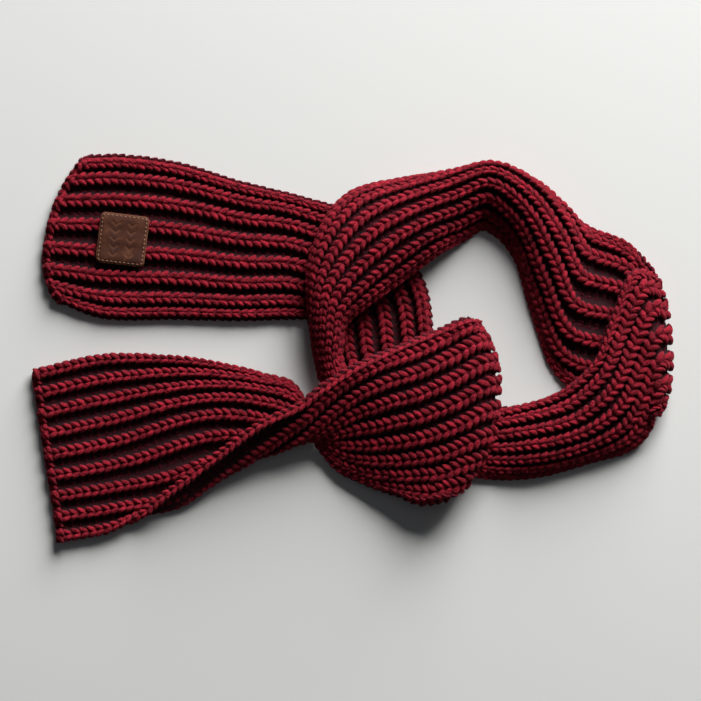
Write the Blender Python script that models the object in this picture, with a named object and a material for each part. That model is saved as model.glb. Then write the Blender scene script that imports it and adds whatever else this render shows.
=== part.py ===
"""A child's chunky rib-knit scarf, laid on a table with its strip looped once and twisted.

The scarf is one long ribbed strip. It runs from the patched end, bends under the loop,
passes under the fan, goes round the ring, folds over at the right, comes back over itself
as the loop, dives, folds again as the fan and ends after a half twist. Each stretch that
shows is its own solid, and they meet where another stretch covers them. Lengths are in
millimetres until they reach Blender, in metres.
"""
import math
from collections import namedtuple

import bmesh
import bpy
from mathutils import Matrix, Vector

MM = 0.001
FRONT_RIBS = 8        # raised ribs on the front face of the strip
BACK_RIBS = 9         # raised ribs on its back face, the outer two along the edges
KNIT_HEIGHT = 8.0     # full thickness, from the crest of one face to the crest of the other
VALLEY_DEPTH = 4.6    # how far the bottom of a valley lies below the crests of its face
CREST_SHARE = 0.42    # share of the way from rib to rib that a rib's flat crest takes
SEAM_GAP = 0.3        # clear space between two stretches, and under the patch
SETTLE = 0.3          # how far the lowest ribs flatten against the table
LEAST_FULLNESS = 0.4  # ribs keep at least the square root of this share of their height
SQUARENESS = 2.5      # 2 makes a section a parabola, more makes its sides steeper

PATCH_WIDTH = 35.0
PATCH_HEIGHT = 36.5
PATCH_THICK = 1.8
PATCH_CORNER = 3.5
PATCH_TURN = math.radians(-7.0)
PATCH_CENTRE = (-164.5, 79.0)

CORE_CENTRE = (36.0, -36.0, 13.4)
CORE_HALF = (33.0, 24.0, 3.6)

# One row for each section of the strip: its left edge, middle and right edge, seen along
# the strip from the patched end. Crowd packs the ribs towards the right edge when it is
# over 1 and towards the left edge below 1. Lean moves the middle point, where the section
# bulges most, towards the right edge. Roll bunches the ribs at both edges, where they turn
# under, and opens them in between. Spans counts the wall's faces up to the next row.
Section = namedtuple("Section", "lx ly lz mx my mz rx ry rz crowd lean roll spans")

# Patched end, round the ring and over itself to where the loop dives.
FIRST_RUN = {
    "end_patched": (
        Section(-192, 138, 4.0, -219, 82, 4.0, -211, 36, 4.0, 1.0, 1, 0.7, 2),
        Section(-167, 139, 4.0, -177, 80, 4.0, -180, 24, 4.0, 1.0, 1, 0.7, 2),
        Section(-123, 133, 4.0, -124, 77, 4.5, -126, 23, 4.0, 1.0, 1, 0.7, 2),
        Section(-80, 120, 4.0, -80, 71, 4.5, -80, 22, 4.0, 1.0, 1, 0.7, 2),
        Section(-32, 108, 4.0, -36, 67, 4.0, -42, 23, 4.0, 1.0, 1, 0.7, 1),
    ),
    "window_stretch": (
        Section(-3, 99, 4.0, -12, 58, 4.0, -25, 22, 4.0, 1.1, 1, 0.7, 2),
        Section(31, 79, 4.0, 6, 42, 4.0, -21, 14, 4.0, 1.4, 1, 0.7, 2),
        Section(52, 46, 4.0, 18, 22, 4.0, -18, 7, 4.0, 1.8, 1, 0.7, 2),
        Section(58, 10, 4.0, 22, -1, 4.5, -15, -3, 4.0, 1.9, 1, 0.7, 2),
        Section(66, -18, 4.0, 34, -33, 4.0, -5, -32, 4.0, 1.8, 1, 0.7, 1),
    ),
    "ring_lower": (
        Section(84, -36, 4.0, 57, -59, 4.0, 26, -68, 4.0, 1.5, 1, 0.6, 1),
        Section(106, -42, 3.0, 98, -68, 5.0, 90, -90, 2.5, 1.5, 1, 0.7, 2),
        Section(128, -39, 2.5, 127, -66, 13.0, 125, -91, 1.5, 1.5, 1, 0.8, 2),
        Section(158, -25, 10.5, 168, -55, 16.0, 174, -79, 1.5, 1.5, 1, 0.85, 2),
        Section(176, -6, 17.0, 192, -38, 18.5, 200, -71, 3.0, 1.45, 1, 0.9, 2),
        Section(186, 20, 18.0, 208, -12, 18.5, 214, -56, 9.0, 1.25, 1, 0.9, 2),
        Section(204, 57, 16.5, 221, 5, 17.5, 216, -47, 13.0, 1.1, 1, 0.9, 2),
        Section(215, 54, 10.5, 227, 4, 11.0, 221, -46, 8.5, 1.1, 1, 0.9, 2),
    ),
    "loop_over": (
        Section(209, 62, 5.0, 221, 8, 5.0, 215, -46, 4.0, 1.1, 1, 0.9, 1),
        Section(196, 77, 4.0, 190, 24, 5.0, 181, -40, 4.0, 1.0, 1, 0.9, 2),
        Section(172, 86, 2.0, 163, 42, 12.0, 150, -18, 1.5, 1.3, 1, 0.9, 2),
        Section(155, 99, 1.5, 147, 79, 20.0, 132, 25, 1.5, 1.5, 1, 0.9, 2),
        Section(131, 117, 1.5, 126, 110, 23.0, 117, 70, 1.5, 1.5, 1, 0.9, 2),
        Section(101, 128, 1.5, 100, 124, 24.0, 97, 88, 1.5, 1.35, 1, 0.9, 2),
        Section(68, 126, 1.5, 72, 112, 25.0, 80, 80, 4.0, 1.15, 1, 0.9, 2),
        Section(32, 121, 3.0, 44, 99, 27.0, 61, 69, 14.0, 1.0, 1, 0.9, 2),
        Section(2, 113, 8.0, 19, 86, 28.0, 37, 51, 16.0, 1.0, 1, 0.9, 2),
        Section(-18, 92, 14.0, -4, 64, 27.0, 13, 34, 18.0, 1.0, 1, 0.9, 2),
        Section(-29, 63, 14.0, -17, 43, 26.0, -4, 20, 17.0, 1.0, 1, 0.9, 2),
        Section(-30, 33, 12.0, -20, 16, 22.0, -8, 4, 15.0, 1.0, 1, 0.9, 1),
        Section(-26, 4, 7.0, -19, -6, 16.0, -8, -8, 14.5, 1.0, 1, 0.85, 1),
        Section(-22, -20, 6.0, -13, -24, 14.5, -4, -19, 15.0, 1.0, 1, 0.85, 0),
    ),
}

# Out from under the fan, round its fold, back over it, through the twist to the plain end.
SECOND_RUN = {
    "fan_and_plain_end": (
        Section(66, -98, 13.0, 88, -43, 15.0, 74, 10, 14.0, 1.15, 1, 0.3, 1),
        Section(71, -102, 12.5, 97, -41, 15.0, 83, 18, 14.0, 1.15, 1, 0.3, 2),
        Section(76, -101, 16.0, 103, -40, 20.5, 88, 21, 20.0, 1.15, 1, 0.3, 2),
        Section(70, -105, 20.0, 97, -41, 26.0, 83, 22, 26.0, 1.15, 1, 0.3, 2),
        Section(52, -110, 17.0, 78, -47, 28.0, 62, 14, 28.0, 1.05, 1, 0.35, 2),
        Section(31, -104, 11.0, 49, -54, 26.0, 38, 4, 29.0, 0.95, 1, 0.4, 2),
        Section(6, -95, 6.0, 22, -56, 22.0, 16, -5, 31.0, 0.85, 1, 0.5, 2),
        Section(-14, -83, 4.0, -1, -56, 16.5, -4, -15, 32.0, 0.85, 1.2, 0.5, 2),
        Section(-29, -60, 4.0, -18, -60, 13.0, -21, -26, 32.0, 0.95, 1.5, 0.5, 2),
        Section(-39, -31, 4.5, -35, -64, 11.0, -35, -37, 30.0, 1.0, 2, 0.4, 2),
        Section(-64, -19, 4.0, -61, -73, 8.0, -64, -51, 27.0, 1.0, 3, 0.2, 2),
        Section(-98, -10, 4.0, -93, -87, 5.0, -96, -74, 21.0, 0.95, 4, 0.1, 2),
        Section(-132, -5, 4.0, -130, -109, 4.0, -133, -102, 13.0, 0.95, 5, 0.1, 2),
        Section(-177, -4, 4.0, -168, -111, 4.0, -168, -128, 5.0, 1.0, 4, 0.1, 2),
        Section(-229, -15, 4.0, -213, -118, 4.0, -211, -138, 4.0, 1.0, 4, 0.1, 0),
    ),
}


class Strip:
    """A smooth strip through a run of sections, read at any place along and across it."""

    def __init__(self, run):
        self.rows = [row for table in run.values() for row in table]
        self.middles = [Vector((row.mx, row.my, row.mz)) for row in self.rows]

    def last(self):
        return len(self.rows) - 1

    def row_value(self, along, column):
        """One column of the tables, read between its rows by a cubic through them."""
        last = self.last()
        index = min(max(int(math.floor(along)), 0), last - 1)
        share = along - index
        near = [getattr(self.rows[min(max(index + step, 0), last)], column)
                for step in (-1, 0, 1, 2)]
        if index == 0:
            near[0] = 2 * near[1] - near[2]
        if index == last - 1:
            near[3] = 2 * near[2] - near[1]
        reach = [max(self.distance(index + step), 1.0) for step in (-1, 0, 1)]
        slope_in = self.slope(near[0], near[1], near[2], reach[0], reach[1]) * reach[1]
        slope_out = self.slope(near[1], near[2], near[3], reach[1], reach[2]) * reach[1]
        square, cube = share * share, share ** 3
        return (near[1] * (2 * cube - 3 * square + 1) + slope_in * (cube - 2 * square + share)
                + near[2] * (3 * square - 2 * cube) + slope_out * (cube - square))

    def distance(self, index):
        """How far the strip's middle runs between a row and the next."""
        last = self.last()
        index = min(max(index, 0), last - 1)
        return (self.middles[index + 1] - self.middles[index]).length

    @staticmethod
    def slope(before, here, after, reach_before, reach_after):
        rise_in = (here - before) / reach_before
        rise_out = (after - here) / reach_after
        return (rise_in * reach_after + rise_out * reach_before) / (reach_before + reach_after)

    def edges_and_bulge(self, along):
        left = Vector([self.row_value(along, column) for column in ("lx", "ly", "lz")])
        middle = Vector([self.row_value(along, column) for column in ("mx", "my", "mz")])
        right = Vector([self.row_value(along, column) for column in ("rx", "ry", "rz")])
        crowd, lean, roll = [self.row_value(along, column)
                             for column in ("crowd", "lean", "roll")]
        fullest = 0.5 ** (1 / lean)
        return left, right, middle - left.lerp(right, fullest), lean, (crowd, roll)

    @staticmethod
    def packed(share, packing):
        """Where a rib lies between the edges, once the ribs are bunched and packed."""
        crowd, roll = packing
        share += roll * ((1 - math.cos(math.pi * share)) / 2 - share)
        if crowd >= 1:
            return 1 - (1 - share) ** crowd
        return share ** (1 / crowd)

    @classmethod
    def across(cls, parts, share):
        """The point of the section at a share of the strip's own width."""
        left, right, bulge, lean, packing = parts
        place = cls.packed(share, packing)
        height = 1 - abs(2 * place ** lean - 1) ** SQUARENESS
        return left.lerp(right, place) + bulge * height

    @classmethod
    def fullness(cls, share, packing):
        """How high the ribs stand at a share of the width: lower where they are packed."""
        low, high = max(share - 0.05, 0.0), min(share + 0.05, 1.0)
        pitch = (cls.packed(high, packing) - cls.packed(low, packing)) / (high - low)
        return min(max(pitch, LEAST_FULLNESS), 1.0) ** 0.5

    def ring(self, along, face_points):
        """The closed outline of the knit wall at one place along the strip."""
        step = 0.02
        here = self.edges_and_bulge(along)
        before = self.edges_and_bulge(max(along - step, 0.0))
        after = self.edges_and_bulge(min(along + step, float(self.last())))
        ring = []
        for share, offset in face_points:
            low, high = max(share - 0.02, 0.0), min(share + 0.02, 1.0)
            sideways = self.across(here, high) - self.across(here, low)
            forwards = self.across(after, share) - self.across(before, share)
            normal = sideways.cross(forwards).normalized()
            spot = self.across(here, share) + normal * offset * self.fullness(share, here[4])
            spot.z = max(spot.z - SETTLE, 0.0)
            ring.append(spot)
        return ring


def knit_outline():
    """Share across and offset from the middle, for the front face and back along the other.

    Front and back ribs take turns across the strip, and each stands over a valley of the
    other face. The back face has the first and the last."""
    half = KNIT_HEIGHT / 2
    valley = half - VALLEY_DEPTH
    turns = FRONT_RIBS + BACK_RIBS
    crest = CREST_SHARE / turns
    front, back = [(0.0, valley)], []
    for turn in range(turns):
        centre = (turn + 0.5) / turns
        if turn % 2:
            front += [(centre - crest, half), (centre + crest, half)]
            back.append((centre, -valley))
        else:
            front.append((centre, valley))
            back += [(centre - crest, -half), (centre + crest, -half)]
    front.append((1.0, valley))
    return front + back[::-1]


def places_along(strip, first, rows):
    """Where a stretch has its rings, with half the seam gap left free at each inner end."""
    places = []
    for index, row in enumerate(rows):
        start = first + index
        if start >= strip.last():
            break
        places += [start + step / row.spans for step in range(row.spans)]
    end = min(first + len(rows), strip.last())
    places.append(float(end))
    half_gap = SEAM_GAP / 2
    if first > 0:
        places[0] += half_gap / strip.distance(first) * 1.6
    if end < strip.last():
        places[-1] -= half_gap / strip.distance(end - 1) * 1.6
    return places


def bridge(mesh, rings, outline):
    """A closed skin over rings of equal size."""
    loops = [[mesh.verts.new(spot * MM) for spot in ring] for ring in rings]
    size = len(loops[0])
    for lower, upper in zip(loops, loops[1:]):
        for index in range(size):
            following = (index + 1) % size
            mesh.faces.new((lower[index], lower[following], upper[following], upper[index]))
    for loop in (loops[0], loops[-1]):
        close_end(mesh, loop, outline)
    bmesh.ops.recalc_face_normals(mesh, faces=mesh.faces)


def close_end(mesh, loop, outline):
    """Fills one end of the wall with a ladder of triangles between its two faces."""
    turn = 1 + max(index for index, (share, _) in enumerate(outline) if share == 1.0)
    shares = [share for share, _ in outline]
    front = list(range(turn))
    back = [0] + list(reversed(range(turn, len(outline)))) + [turn - 1]
    while len(front) > 1 or len(back) > 1:
        step_front = len(back) == 1 or (len(front) > 1 and shares[front[1]] < shares[back[1]])
        corners = (front[0], back[0], front[1] if step_front else back[1])
        if len(set(corners)) == 3:
            mesh.faces.new([loop[corner] for corner in corners])
        (front if step_front else back).pop(0)


def add_object(name, mesh, material, smooth=False):
    data = bpy.data.meshes.new(name)
    mesh.to_mesh(data)
    mesh.free()
    data.materials.append(material)
    data.polygons.foreach_set("use_smooth", [smooth] * len(data.polygons))
    made = bpy.data.objects.new(name, data)
    bpy.context.scene.collection.objects.link(made)
    return made


def plain_material(name, colour, roughness):
    material = bpy.data.materials.new(name)
    material.use_nodes = True
    shader = material.node_tree.nodes["Principled BSDF"]
    shader.inputs["Base Color"].default_value = (*colour, 1.0)
    shader.inputs["Roughness"].default_value = roughness
    shader.inputs["Metallic"].default_value = 0.0
    return material


def build_run(run, material):
    strip = Strip(run)
    outline = knit_outline()
    first = 0
    for name, rows in run.items():
        mesh = bmesh.new()
        rings = [strip.ring(place, outline) for place in places_along(strip, first, rows)]
        bridge(mesh, rings, outline)
        add_object(name, mesh, material)
        first += len(rows)
    return strip


def build_core(material):
    """The hidden layers between the lowest stretch and the fan, as one rounded pad."""
    mesh = bmesh.new()
    bmesh.ops.create_uvsphere(mesh, u_segments=16, v_segments=6, radius=1.0)
    for vert in mesh.verts:
        shares = vert.co.copy()
        flat = math.copysign(abs(shares.z) ** 0.6, shares.z)
        vert.co = Vector([centre + half * share for centre, half, share
                          in zip(CORE_CENTRE, CORE_HALF, (shares.x, shares.y, flat))]) * MM
    add_object("hidden_layers", mesh, material, smooth=True)


def surface_height(strip, x, y):
    """Height of the strip's middle under a point of the patch."""
    best = None
    for step in range(4, 80):
        parts = strip.edges_and_bulge(step / 40)
        for cut in range(6, 34):
            spot = strip.across(parts, cut / 40)
            away = (spot.x - x) ** 2 + (spot.y - y) ** 2
            if best is None or away < best[0]:
                best = (away, spot.z)
    return best[1]


def build_patch(strip, material):
    """A rounded leather square that lies on the crests of the ribs near the end."""
    mesh = bmesh.new()
    bmesh.ops.create_grid(mesh, x_segments=4, y_segments=4, size=0.5)
    bmesh.ops.scale(mesh, vec=(PATCH_WIDTH, PATCH_HEIGHT, 1.0), verts=mesh.verts)
    corners = [vert for vert in mesh.verts if len(vert.link_edges) == 2]
    bmesh.ops.bevel(mesh, geom=corners, offset=PATCH_CORNER, segments=4, profile=0.5,
                    affect="VERTICES", material=-1)
    turn_cos, turn_sin = math.cos(PATCH_TURN), math.sin(PATCH_TURN)
    for vert in mesh.verts:
        x = PATCH_CENTRE[0] + vert.co.x * turn_cos - vert.co.y * turn_sin
        y = PATCH_CENTRE[1] + vert.co.x * turn_sin + vert.co.y * turn_cos
        z = surface_height(strip, x, y) + KNIT_HEIGHT / 2 - SETTLE + SEAM_GAP
        vert.co = Vector((x, y, z))
    walls = bmesh.ops.extrude_face_region(mesh, geom=mesh.faces[:])
    raised = [item for item in walls["geom"] if isinstance(item, bmesh.types.BMVert)]
    bmesh.ops.translate(mesh, verts=raised, vec=(0.0, 0.0, PATCH_THICK))
    bmesh.ops.scale(mesh, vec=(MM, MM, MM), verts=mesh.verts)
    bmesh.ops.recalc_face_normals(mesh, faces=mesh.faces)
    add_object("patch", mesh, material)


def centre_on_base(objects):
    """Moves the shapes so that the origin lies under the middle of their box."""
    spots = [vert.co for made in objects for vert in made.data.vertices]
    middle = Vector([(min(spot[axis] for spot in spots) + max(spot[axis] for spot in spots)) / 2
                     for axis in range(2)] + [0.0])
    for made in objects:
        made.data.transform(Matrix.Translation(-middle))
        made.data.update()


def clear_scene():
    for old in list(bpy.data.objects):
        bpy.data.objects.remove(old, do_unlink=True)


def main():
    clear_scene()
    wool = plain_material("burgundy_wool", (0.33, 0.013, 0.03), 0.9)
    leather = plain_material("brown_leather", (0.17, 0.055, 0.022), 0.6)
    first_strip = build_run(FIRST_RUN, wool)
    build_run(SECOND_RUN, wool)
    build_core(wool)
    build_patch(first_strip, leather)
    centre_on_base(list(bpy.context.scene.collection.objects))


main()
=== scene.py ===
"""Looks of a child's chunky rib-knit scarf, laid on a table, looped once and half twisted.

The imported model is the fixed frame. Every stretch of the strip gets a thin ribbed ground cloth
and, on it, the knit itself: a chain of V stitches along each rib of both faces, along both
selvedges and across the bound-off ends, and a fuzz of loose fibres. The leather patch gets its
bevelled edge, its pressed motif and its sewing thread.
"""
import logging
import math
from collections import namedtuple
from dataclasses import dataclass, field
from enum import Enum
from typing import Any, Callable, Union

import bmesh
import bpy
import numpy as np
from mathutils import Matrix, Vector


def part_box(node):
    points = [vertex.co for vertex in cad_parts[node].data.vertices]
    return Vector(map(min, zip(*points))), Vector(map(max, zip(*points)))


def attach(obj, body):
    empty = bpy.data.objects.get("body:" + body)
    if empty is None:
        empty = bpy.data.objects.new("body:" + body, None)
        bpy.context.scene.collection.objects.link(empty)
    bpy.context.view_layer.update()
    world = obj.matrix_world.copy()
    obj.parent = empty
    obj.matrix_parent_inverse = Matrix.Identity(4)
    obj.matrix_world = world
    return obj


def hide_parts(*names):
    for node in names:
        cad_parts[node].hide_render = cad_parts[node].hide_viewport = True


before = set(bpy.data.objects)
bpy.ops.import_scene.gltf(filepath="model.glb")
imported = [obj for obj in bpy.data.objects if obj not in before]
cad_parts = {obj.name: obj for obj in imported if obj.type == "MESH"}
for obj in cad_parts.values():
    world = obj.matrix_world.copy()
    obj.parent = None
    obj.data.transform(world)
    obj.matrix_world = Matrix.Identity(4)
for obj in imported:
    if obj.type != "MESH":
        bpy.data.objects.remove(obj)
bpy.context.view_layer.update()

LOG = logging.getLogger("knit_scarf")
MM = 0.001

FRONT_RIBS = 8        # raised ribs on the front face of the strip
BACK_RIBS = 9         # raised ribs on its back face, the outer two along the edges
TURNS = FRONT_RIBS + BACK_RIBS
SQUARENESS = 2.5      # how steep the sides of a section are, as in the part's source
LEAST_FULLNESS = 0.4  # as in the part's source
SETTLE = 0.3          # how far the lowest ribs flatten against the table
STRIP_WIDTH = 115.0   # the strip's width before it is laid
SLIMMEST, WIDEST = 0.32, 1.08  # how far a rib follows the strip's width, against a relaxed one
BACK_SWELL = 1.2      # the most that a rib of the back face spreads
EDGE_INSET = 3.0      # how far the stitches of a selvedge lie inside the strip's edge
EDGE_WIDTH = 0.85     # the size of a selvedge's stitches against those of a rib
READS_A_SECTION, READS_ACROSS = 24, 160  # how often a line of stitches is read
RIB_PITCH = 13.4      # how far apart the ribs of the relaxed strip lie
PATCH_CENTRE = (-164.5, 79.0)
PATCH_TURN = math.radians(-7.0)
CORE_CENTRE = (36.0, -36.0, 13.4)
CORE_HALF = (33.0, 24.0, 3.6)

# One row for each section of the strip, in millimetres: its left edge, middle and right edge,
# seen along the strip from the patched end. Crowd packs the ribs towards the right edge when
# over 1 and towards the left edge below 1. Lean moves the fullest point towards the right edge.
# Roll bunches the ribs at both edges, where they turn under, and opens them in between.
Section = namedtuple("Section", "lx ly lz mx my mz rx ry rz crowd lean roll")

FIRST_RUN = {
    "end_patched": (
        Section(-192, 138, 4.0, -219, 82, 4.0, -211, 36, 4.0, 1.0, 1, 0.7),
        Section(-167, 139, 4.0, -177, 80, 4.0, -180, 24, 4.0, 1.0, 1, 0.7),
        Section(-123, 133, 4.0, -124, 77, 4.5, -126, 23, 4.0, 1.0, 1, 0.7),
        Section(-80, 120, 4.0, -80, 71, 4.5, -80, 22, 4.0, 1.0, 1, 0.7),
        Section(-32, 108, 4.0, -36, 67, 4.0, -42, 23, 4.0, 1.0, 1, 0.7),
    ),
    "window_stretch": (
        Section(-3, 99, 4.0, -12, 58, 4.0, -25, 22, 4.0, 1.1, 1, 0.7),
        Section(31, 79, 4.0, 6, 42, 4.0, -21, 14, 4.0, 1.4, 1, 0.7),
        Section(52, 46, 4.0, 18, 22, 4.0, -18, 7, 4.0, 1.8, 1, 0.7),
        Section(58, 10, 4.0, 22, -1, 4.5, -15, -3, 4.0, 1.9, 1, 0.7),
        Section(66, -18, 4.0, 34, -33, 4.0, -5, -32, 4.0, 1.8, 1, 0.7),
    ),
    "ring_lower": (
        Section(84, -36, 4.0, 57, -59, 4.0, 26, -68, 4.0, 1.5, 1, 0.6),
        Section(106, -42, 3.0, 98, -68, 5.0, 90, -90, 2.5, 1.5, 1, 0.7),
        Section(128, -39, 2.5, 127, -66, 13.0, 125, -91, 1.5, 1.5, 1, 0.8),
        Section(158, -25, 10.5, 168, -55, 16.0, 174, -79, 1.5, 1.5, 1, 0.85),
        Section(176, -6, 17.0, 192, -38, 18.5, 200, -71, 3.0, 1.45, 1, 0.9),
        Section(186, 20, 18.0, 208, -12, 18.5, 214, -56, 9.0, 1.25, 1, 0.9),
        Section(204, 57, 16.5, 221, 5, 17.5, 216, -47, 13.0, 1.1, 1, 0.9),
        Section(215, 54, 10.5, 227, 4, 11.0, 221, -46, 8.5, 1.1, 1, 0.9),
    ),
    "loop_over": (
        Section(209, 62, 5.0, 221, 8, 5.0, 215, -46, 4.0, 1.1, 1, 0.9),
        Section(196, 77, 4.0, 190, 24, 5.0, 181, -40, 4.0, 1.0, 1, 0.9),
        Section(172, 86, 2.0, 163, 42, 12.0, 150, -18, 1.5, 1.3, 1, 0.9),
        Section(155, 99, 1.5, 147, 79, 20.0, 132, 25, 1.5, 1.5, 1, 0.9),
        Section(131, 117, 1.5, 126, 110, 23.0, 117, 70, 1.5, 1.5, 1, 0.9),
        Section(101, 128, 1.5, 100, 124, 24.0, 97, 88, 1.5, 1.35, 1, 0.9),
        Section(68, 126, 1.5, 72, 112, 25.0, 80, 80, 4.0, 1.15, 1, 0.9),
        Section(32, 121, 3.0, 44, 99, 27.0, 61, 69, 14.0, 1.0, 1, 0.9),
        Section(2, 113, 8.0, 19, 86, 28.0, 37, 51, 16.0, 1.0, 1, 0.9),
        Section(-18, 92, 14.0, -4, 64, 27.0, 13, 34, 18.0, 1.0, 1, 0.9),
        Section(-29, 63, 14.0, -17, 43, 26.0, -4, 20, 17.0, 1.0, 1, 0.9),
        Section(-30, 33, 12.0, -20, 16, 22.0, -8, 4, 15.0, 1.0, 1, 0.9),
        Section(-26, 4, 7.0, -19, -6, 16.0, -8, -8, 14.5, 1.0, 1, 0.85),
        Section(-22, -20, 6.0, -13, -24, 14.5, -4, -19, 15.0, 1.0, 1, 0.85),
    ),
}
SECOND_RUN = {
    "fan_and_plain_end": (
        Section(66, -98, 13.0, 88, -43, 15.0, 74, 10, 14.0, 1.15, 1, 0.3),
        Section(71, -102, 12.5, 97, -41, 15.0, 83, 18, 14.0, 1.15, 1, 0.3),
        Section(76, -101, 16.0, 103, -40, 20.5, 88, 21, 20.0, 1.15, 1, 0.3),
        Section(70, -105, 20.0, 97, -41, 26.0, 83, 22, 26.0, 1.15, 1, 0.3),
        Section(52, -110, 17.0, 78, -47, 28.0, 62, 14, 28.0, 1.05, 1, 0.35),
        Section(31, -104, 11.0, 49, -54, 26.0, 38, 4, 29.0, 0.95, 1, 0.4),
        Section(6, -95, 6.0, 22, -56, 22.0, 16, -5, 31.0, 0.85, 1, 0.5),
        Section(-14, -83, 4.0, -1, -56, 16.5, -4, -15, 32.0, 0.85, 1.2, 0.5),
        Section(-29, -60, 4.0, -18, -60, 13.0, -21, -26, 32.0, 0.95, 1.5, 0.5),
        Section(-39, -31, 4.5, -35, -64, 11.0, -35, -37, 30.0, 1.0, 2, 0.4),
        Section(-64, -19, 4.0, -61, -73, 8.0, -64, -51, 27.0, 1.0, 3, 0.2),
        Section(-98, -10, 4.0, -93, -87, 5.0, -96, -74, 21.0, 0.95, 4, 0.1),
        Section(-132, -5, 4.0, -130, -109, 4.0, -133, -102, 13.0, 0.95, 5, 0.1),
        Section(-177, -4, 4.0, -168, -111, 4.0, -168, -128, 5.0, 1.0, 4, 0.1),
        Section(-229, -15, 4.0, -213, -118, 4.0, -211, -138, 4.0, 1.0, 4, 0.1),
    ),
}


class Face(Enum):
    """The sides of the strip that carry a chain of stitches."""

    FRONT = "front"
    BACK = "back"
    LEFT_EDGE = "left_edge"
    RIGHT_EDGE = "right_edge"


class Lay(Enum):
    LAID = "laid"
    DRAPED = "draped"
    FOLDED = "folded"


# ---------------------------------------------------------------- shader building


class Value:
    """A number socket of a shader, written with ordinary arithmetic."""

    def __init__(self, shader: "Shader", socket: bpy.types.NodeSocket) -> None:
        """Keeps the socket and the shader that new Math nodes go into."""
        self.shader, self.socket = shader, socket

    def _maths(self, operation: str, *terms: Any) -> "Value":
        """Adds one Math node.

        Args:
            operation: the Math node's operation.
            terms: its inputs, in order, as values or numbers.

        Returns:
            The node's result.
        """
        return self.shader.node("ShaderNodeMath", {"operation": operation},
                                dict(enumerate(terms)))

    def __add__(self, other: Any) -> "Value":
        """Returns self + other."""
        return self._maths("ADD", self, other)

    __radd__ = __add__

    def __mul__(self, other: Any) -> "Value":
        """Returns self * other."""
        return self._maths("MULTIPLY", self, other)

    __rmul__ = __mul__

    def sine(self) -> "Value":
        """Returns the sine of self, in radians."""
        return self._maths("SINE", self)


class Shader:
    """A Principled material that is put together node by node."""

    def __init__(self, name: str) -> None:
        """Makes the material with its shader node and nothing linked."""
        self.material = bpy.data.materials.new(name)
        self.material.use_nodes = True
        self.tree = self.material.node_tree
        self.surface = self.tree.nodes["Principled BSDF"]

    def node(self, kind: str, settings: dict[str, Any], inputs: dict[Any, Any],
             output: Union[int, str] = 0) -> Value:
        """Adds one node.

        Args:
            kind: the node's type.
            settings: its properties, set first. A ramp's stops are {"stops": {place: colour}}.
            inputs: its sockets by name or number, each a value, a link or a plain number.
            output: the socket that is returned.

        Returns:
            The chosen output.
        """
        made = self.tree.nodes.new(kind)
        for name, setting in settings.items():
            if name == "stops":
                self._set_stops(made.color_ramp, setting)
            else:
                setattr(made, name, setting)
        for name, given in inputs.items():
            self._feed(made.inputs[name], given)
        return Value(self, made.outputs[output])

    def _set_stops(self, ramp: bpy.types.ColorRamp, stops: dict[float, tuple]) -> None:
        """Gives a ramp its stops, as many as there are.

        Args:
            ramp: the ramp, which has two stops to begin with.
            stops: the colours by their places from 0 to 1.
        """
        while len(ramp.elements) < len(stops):
            ramp.elements.new(0.5)
        for element, (place, colour) in zip(ramp.elements, sorted(stops.items())):
            element.position, element.color = place, (*colour, 1.0)

    def _feed(self, socket: bpy.types.NodeSocket, given: Any) -> None:
        """Links a value into a socket, or sets the socket itself.

        Args:
            socket: the input.
            given: a value or a socket to link, or a plain number, colour or vector.
        """
        if isinstance(given, Value):
            self.tree.links.new(given.socket, socket)
        elif isinstance(given, bpy.types.NodeSocket):
            self.tree.links.new(given, socket)
        elif isinstance(given, tuple) and len(given) == 3 and socket.type == "RGBA":
            socket.default_value = (*given, 1.0)
        else:
            socket.default_value = given

    def feed(self, **inputs: Any) -> None:
        """Sets or links sockets of the Principled shader; _ stands for a space."""
        for name, given in inputs.items():
            self._feed(self.surface.inputs[name.replace("_", " ")], given)

    def attribute(self, name: str) -> Value:
        """Returns a number that the piece's mesh carries under that name."""
        return self.node("ShaderNodeAttribute", {"attribute_name": name}, {}, "Fac")

    def place(self) -> Value:
        """Returns the place on the piece, in Object coordinates."""
        return self.node("ShaderNodeTexCoord", {}, {}, "Object")

    def noise(self, scale: float, detail: float) -> Value:
        """Returns a noise of that scale, in repeats a metre, on Object coordinates."""
        return self.node("ShaderNodeTexNoise", {},
                         {"Vector": self.place(), "Scale": scale, "Detail": detail}, "Fac")

    def blend(self, share: Any, first: Any, second: Any) -> Value:
        """Mixes two colours by a share from 0 to 1."""
        return self.node("ShaderNodeMix", {"data_type": "RGBA"},
                         {0: share, 6: first, 7: second}, 2)

    def ramp(self, value: Value, stops: dict[float, tuple]) -> Value:
        """Turns a number into a colour by stops."""
        return self.node("ShaderNodeValToRGB", {"stops": stops}, {"Fac": value})

    def bump(self, height: Value, strength: float, distance: float) -> Value:
        """Returns a normal that a height has roughened; distance is in metres."""
        return self.node("ShaderNodeBump", {}, {"Height": height, "Strength": strength,
                                                "Distance": distance}, "Normal")


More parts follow.
